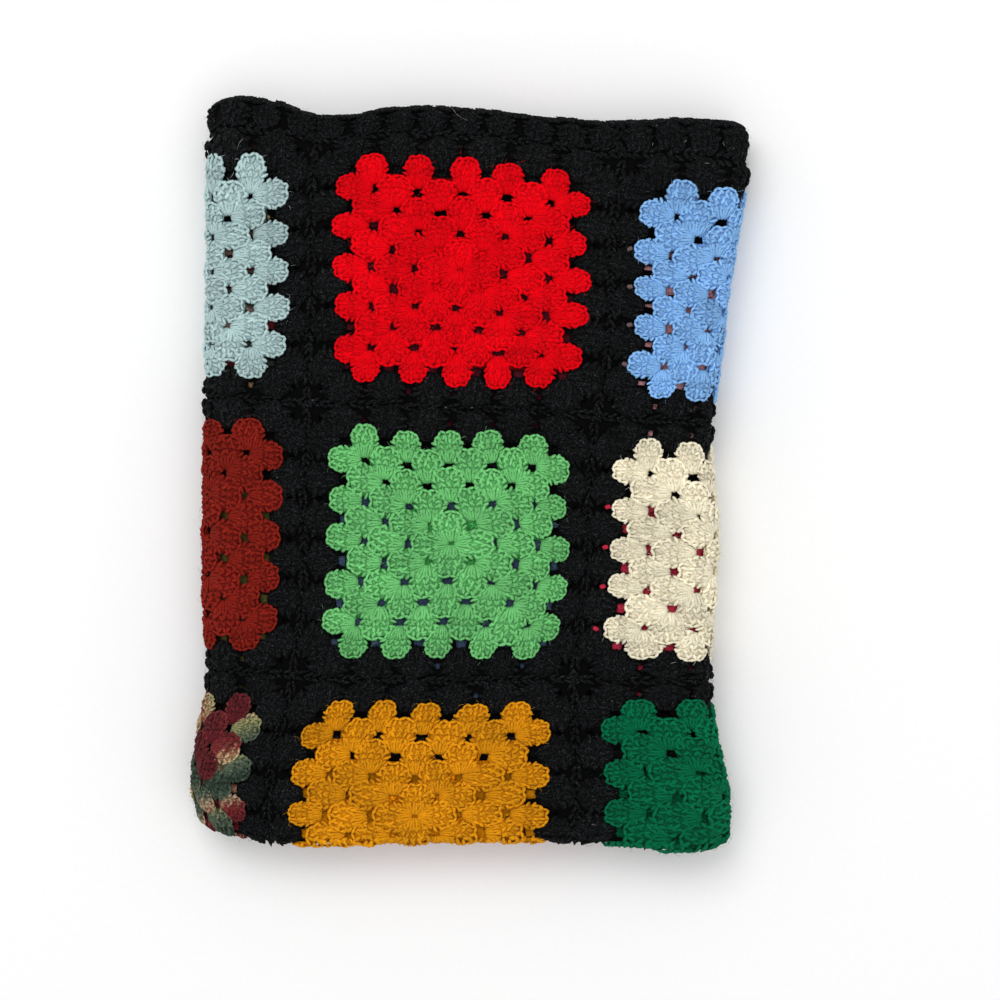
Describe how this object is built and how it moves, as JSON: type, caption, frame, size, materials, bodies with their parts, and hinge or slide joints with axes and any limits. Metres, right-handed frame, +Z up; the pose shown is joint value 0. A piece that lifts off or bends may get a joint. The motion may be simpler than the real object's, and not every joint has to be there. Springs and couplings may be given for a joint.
{
  "type": "folded granny square blanket",
  "caption": "Crocheted blanket of bright squares joined in black, folded in thirds each way into a flat packet.",
  "frame": {"origin": "bottom centre of the folded packet's bounding box, on the surface it lies on", "axes": "+X along the top border, to the right seen from above; +Y from the near fold to the top border; +Z up"},
  "size_m": [0.3025, 0.4119, 0.042],
  "materials": {
    "crochet_yarn": "matte, soft acrylic yarn in plump stitches, with a slight halo of fibres"
  },
  "bodies": {
    "root": {"blanket": "crochet_yarn"}
  },
  "joints": []
}
